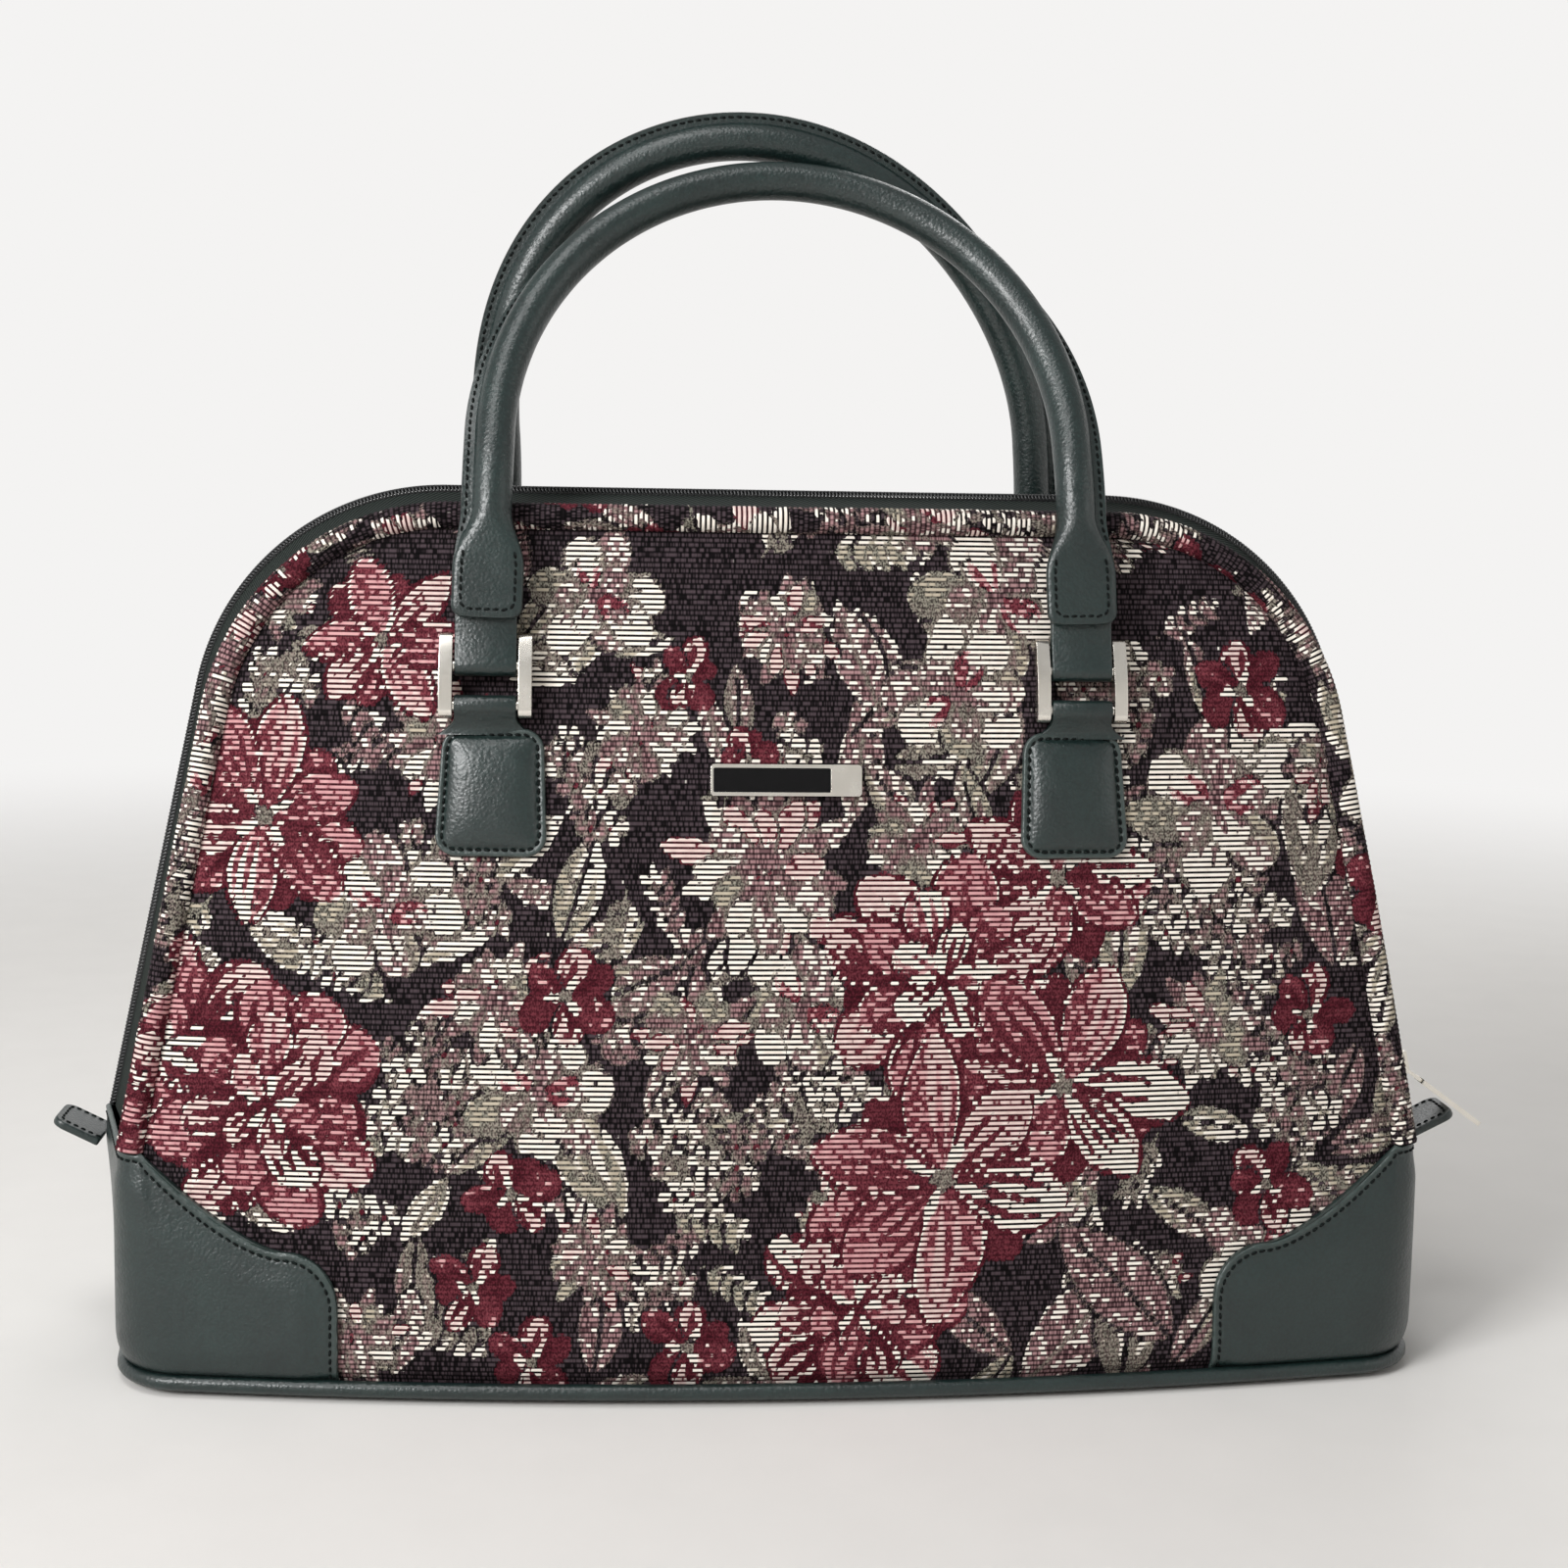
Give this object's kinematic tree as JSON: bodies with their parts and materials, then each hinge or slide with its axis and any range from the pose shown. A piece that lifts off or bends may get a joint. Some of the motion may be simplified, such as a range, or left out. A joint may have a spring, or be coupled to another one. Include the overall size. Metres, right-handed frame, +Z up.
{
  "type": "carpet bag",
  "caption": "Domed carpet travel bag in floral tapestry with piped edges, leather corner guards, rolled leather handles on link rings and a zip over the top.",
  "frame": {"origin": "on the floor under the middle of the base", "axes": "+X along the bag's width towards the zip pull, +Y from the front panel to the back panel, +Z up"},
  "size_m": [0.5878, 0.1944, 0.4902],
  "materials": {
    "tapestry": "ribbed jacquard tapestry",
    "leather": "dark green grained leather, semi-matt",
    "zip_tape": "dark woven tape",
    "zip_coil": "black nylon coil",
    "nickel": "polished nickel",
    "grey_inlay": "dark grey, satin",
    "black_enamel": "black enamel, glossy",
    "board": "fibreboard"
  },
  "bodies": {
    "bag": {"front_panel": "tapestry", "back_panel": "tapestry", "front_piping": "tapestry", "back_piping": "tapestry", "corner_front_left": "leather", "corner_front_right": "leather", "corner_back_left": "leather", "corner_back_right": "leather", "base_panel": "leather", "base_piping": "leather", "zip_end_left": "leather", "zip_end_right": "leather", "tab_front_left": "leather", "tab_front_right": "leather", "tab_back_left": "leather", "tab_back_right": "leather", "zip_tape_front": "zip_tape", "zip_tape_back": "zip_tape", "zip_chain": "zip_coil", "name_plate": "nickel", "plate_inlay": "black_enamel", "base_board": "board"},
    "link_front_left": {"ring_front_left": "nickel"},
    "link_front_right": {"ring_front_right": "nickel"},
    "link_back_left": {"ring_back_left": "nickel"},
    "link_back_right": {"ring_back_right": "nickel"},
    "grip_front": {"handle_front": "leather", "loop_front_left": "leather", "loop_front_right": "leather"},
    "grip_back": {"handle_back": "leather", "loop_back_left": "leather", "loop_back_right": "leather"},
    "slider": {"zip_slider": "nickel"},
    "pull": {"zip_pull": "nickel", "pull_inlay": "grey_inlay"}
  },
  "joints": [
    {"name": "link_front_left_swing", "type": "hinge", "parent": "bag", "child": "link_front_left", "pos_m": [-0.1125, -0.05788, 0.259], "axis": [1, 0, 0], "range_deg": [0, 60]},
    {"name": "link_front_right_swing", "type": "hinge", "parent": "bag", "child": "link_front_right", "pos_m": [0.1125, -0.05788, 0.259], "axis": [1, 0, 0], "range_deg": [0, 60]},
    {"name": "grip_front_swing", "type": "hinge", "parent": "link_front_left", "child": "grip_front", "pos_m": [-0.1125, -0.05432, 0.27357], "axis": [1, 0, 0], "range_deg": [0, 100]},
    {"name": "link_back_left_swing", "type": "hinge", "parent": "bag", "child": "link_back_left", "pos_m": [-0.1125, 0.05788, 0.259], "axis": [-1, 0, 0], "range_deg": [0, 60]},
    {"name": "link_back_right_swing", "type": "hinge", "parent": "bag", "child": "link_back_right", "pos_m": [0.1125, 0.05788, 0.259], "axis": [-1, 0, 0], "range_deg": [0, 60]},
    {"name": "grip_back_swing", "type": "hinge", "parent": "link_back_left", "child": "grip_back", "pos_m": [-0.1125, 0.05432, 0.27357], "axis": [-1, 0, 0], "range_deg": [0, 100]},
    {"name": "zip_slide", "type": "slide", "parent": "bag", "child": "slider", "axis": [-0.2147, 0, 0.9767], "range_m": [0, 0.145], "deforming": ["zip_chain"]},
    {"name": "pull_swing", "type": "hinge", "parent": "slider", "child": "pull", "pos_m": [0.26651, 0, 0.10411], "axis": [0, -1, 0], "range_deg": [0, 120]}
  ],
  "couplings": [
    {"joint": "link_front_right_swing", "follows": "link_front_left_swing", "ratio": 1},
    {"joint": "link_back_right_swing", "follows": "link_back_left_swing", "ratio": 1}
  ]
}
